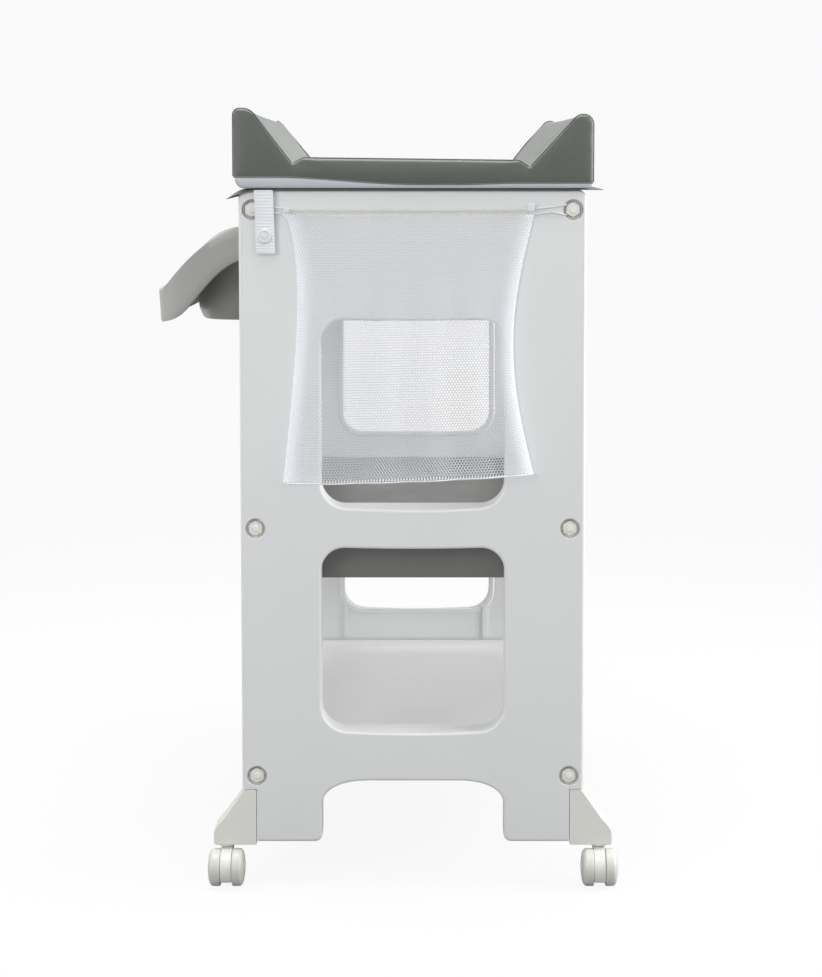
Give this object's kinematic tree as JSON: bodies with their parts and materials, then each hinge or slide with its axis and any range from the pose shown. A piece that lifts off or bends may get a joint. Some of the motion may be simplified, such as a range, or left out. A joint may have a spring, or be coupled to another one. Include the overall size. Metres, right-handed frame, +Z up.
{
  "type": "changing board with bath",
  "caption": "Changing unit on castors: end panels carry a bath, shelves and a padded mat with wedges, and a mesh laundry bag hangs on one end.",
  "frame": {"origin": "middle of the bounding box at the floor", "axes": "+X across the end panels, the bath's bowed front at -X; +Y from the panel with the bag to the other; +Z up"},
  "size_m": [0.668, 0.8274, 1.055],
  "materials": {
    "panel": "satin white moulding",
    "shelf": "satin warm white moulding",
    "grey": "semi-gloss grey moulding",
    "bolt": "satin nylon",
    "castor": "satin nylon",
    "wheel": "satin nylon",
    "steel": "zinc plated",
    "mat": "soft grey vinyl",
    "base": "pale coated cloth",
    "sheet": "thin grey sheet",
    "webbing": "white webbing",
    "mesh": "white mesh"
  },
  "bodies": {
    "frame": {"near_end_panel": "panel", "near_bottom_left_bolt": "bolt", "near_bottom_right_bolt": "bolt", "near_middle_left_bolt": "bolt", "near_middle_right_bolt": "bolt", "near_top_left_bolt": "bolt", "near_top_right_bolt": "bolt", "near_left_bracket": "castor", "near_left_bracket_screw": "steel", "near_right_bracket": "castor", "near_right_bracket_screw": "steel", "far_end_panel": "panel", "far_bottom_left_bolt": "bolt", "far_bottom_right_bolt": "bolt", "far_middle_left_bolt": "bolt", "far_middle_right_bolt": "bolt", "far_top_left_bolt": "bolt", "far_top_right_bolt": "bolt", "far_left_bracket": "castor", "far_left_bracket_screw": "steel", "far_right_bracket": "castor", "far_right_bracket_screw": "steel", "middle_shelf": "grey", "lower_shelf": "shelf", "bath": "grey", "laundry_bag": "mesh", "bag_casing": "mesh", "bag_cord": "webbing"},
    "mat_top": {"changing_mat": "mat", "mat_base": "base", "mat_sheet": "sheet", "near_strap": "webbing", "near_strap_snap": "bolt", "far_strap": "webbing", "far_strap_snap": "bolt"},
    "plug": {"drain_plug": "grey"},
    "near_left_castor": {"near_left_castor_housing": "castor", "near_left_castor_axle": "steel"},
    "near_left_outer_wheel": {"near_left_outer_wheel": "wheel"},
    "near_left_inner_wheel": {"near_left_inner_wheel": "wheel"},
    "near_right_castor": {"near_right_castor_housing": "castor", "near_right_castor_axle": "steel"},
    "near_right_outer_wheel": {"near_right_outer_wheel": "wheel"},
    "near_right_inner_wheel": {"near_right_inner_wheel": "wheel"},
    "far_left_castor": {"far_left_castor_housing": "castor", "far_left_castor_axle": "steel"},
    "far_left_outer_wheel": {"far_left_outer_wheel": "wheel"},
    "far_left_inner_wheel": {"far_left_inner_wheel": "wheel"},
    "far_right_castor": {"far_right_castor_housing": "castor", "far_right_castor_axle": "steel"},
    "far_right_outer_wheel": {"far_right_outer_wheel": "wheel"},
    "far_right_inner_wheel": {"far_right_inner_wheel": "wheel"}
  },
  "joints": [
    {"name": "mat_lift", "type": "slide", "parent": "frame", "child": "mat_top", "axis": [0, 0, 1], "range_m": [0, 0.3]},
    {"name": "plug_pull", "type": "slide", "parent": "frame", "child": "plug", "axis": [0, 0, 1], "range_m": [0, 0.08]},
    {"name": "near_left_swivel", "type": "hinge", "parent": "frame", "child": "near_left_castor", "pos_m": [-0.19903, -0.36073, 0.053], "axis": [0, 0, 1], "continuous": true},
    {"name": "near_left_outer_spin", "type": "hinge", "parent": "near_left_castor", "child": "near_left_outer_wheel", "pos_m": [-0.20708, -0.37773, 0.025], "axis": [1, 0, 0], "continuous": true},
    {"name": "near_left_inner_spin", "type": "hinge", "parent": "near_left_castor", "child": "near_left_inner_wheel", "pos_m": [-0.19098, -0.37773, 0.025], "axis": [1, 0, 0], "continuous": true},
    {"name": "near_right_swivel", "type": "hinge", "parent": "frame", "child": "near_right_castor", "pos_m": [0.30897, -0.36073, 0.053], "axis": [0, 0, 1], "continuous": true},
    {"name": "near_right_outer_spin", "type": "hinge", "parent": "near_right_castor", "child": "near_right_outer_wheel", "pos_m": [0.31703, -0.37773, 0.025], "axis": [1, 0, 0], "continuous": true},
    {"name": "near_right_inner_spin", "type": "hinge", "parent": "near_right_castor", "child": "near_right_inner_wheel", "pos_m": [0.30092, -0.37773, 0.025], "axis": [1, 0, 0], "continuous": true},
    {"name": "far_left_swivel", "type": "hinge", "parent": "frame", "child": "far_left_castor", "pos_m": [-0.19903, 0.38557, 0.053], "axis": [0, 0, 1], "continuous": true},
    {"name": "far_left_outer_spin", "type": "hinge", "parent": "far_left_castor", "child": "far_left_outer_wheel", "pos_m": [-0.20708, 0.36857, 0.025], "axis": [1, 0, 0], "continuous": true},
    {"name": "far_left_inner_spin", "type": "hinge", "parent": "far_left_castor", "child": "far_left_inner_wheel", "pos_m": [-0.19098, 0.36857, 0.025], "axis": [1, 0, 0], "continuous": true},
    {"name": "far_right_swivel", "type": "hinge", "parent": "frame", "child": "far_right_castor", "pos_m": [0.30897, 0.38557, 0.053], "axis": [0, 0, 1], "continuous": true},
    {"name": "far_right_outer_spin", "type": "hinge", "parent": "far_right_castor", "child": "far_right_outer_wheel", "pos_m": [0.31703, 0.36857, 0.025], "axis": [1, 0, 0], "continuous": true},
    {"name": "far_right_inner_spin", "type": "hinge", "parent": "far_right_castor", "child": "far_right_inner_wheel", "pos_m": [0.30092, 0.36857, 0.025], "axis": [1, 0, 0], "continuous": true}
  ]
}
